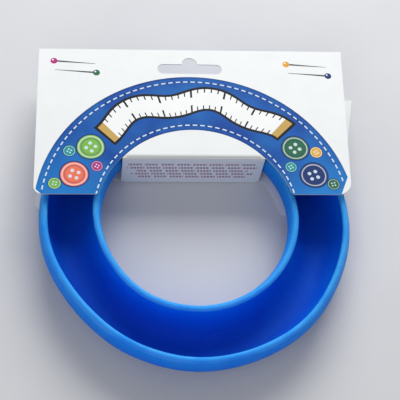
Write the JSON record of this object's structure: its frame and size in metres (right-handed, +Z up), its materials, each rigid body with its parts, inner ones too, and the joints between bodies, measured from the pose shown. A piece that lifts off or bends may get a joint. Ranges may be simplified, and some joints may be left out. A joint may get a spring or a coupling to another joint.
{
  "type": "bobbin ring on a hang card",
  "caption": "Soft moulded ring with an open round channel that grips sewing-machine bobbins, held in a folded paperboard hang card with a peg hole.",
  "frame": {"origin": "on the ring's axis, level with the underside of the back board", "axes": "+Z up out of the channel's mouth, along the ring's axis; +Y from the ring's axis to the card's hang hole; +X along the crease"},
  "size_m": [0.1597, 0.1617, 0.0255],
  "materials": {
    "ring_elastomer": "satin",
    "card_board": "satin"
  },
  "bodies": {
    "card": {"bridge_flap": "card_board", "glue_tab": "card_board", "back_panel": "card_board"},
    "front": {"front_panel": "card_board"},
    "ring": {"bobbin_ring": "ring_elastomer"}
  },
  "joints": [
    {"name": "ring_swivel", "type": "hinge", "parent": "card", "child": "ring", "pos_m": [0, 0, 0], "axis": [0, 0, 1], "continuous": true},
    {"name": "front_crease", "type": "hinge", "parent": "card", "child": "front", "pos_m": [0, 0.0272, 0.02445], "axis": [1, 0, 0], "range_deg": [0, 7.5]}
  ]
}
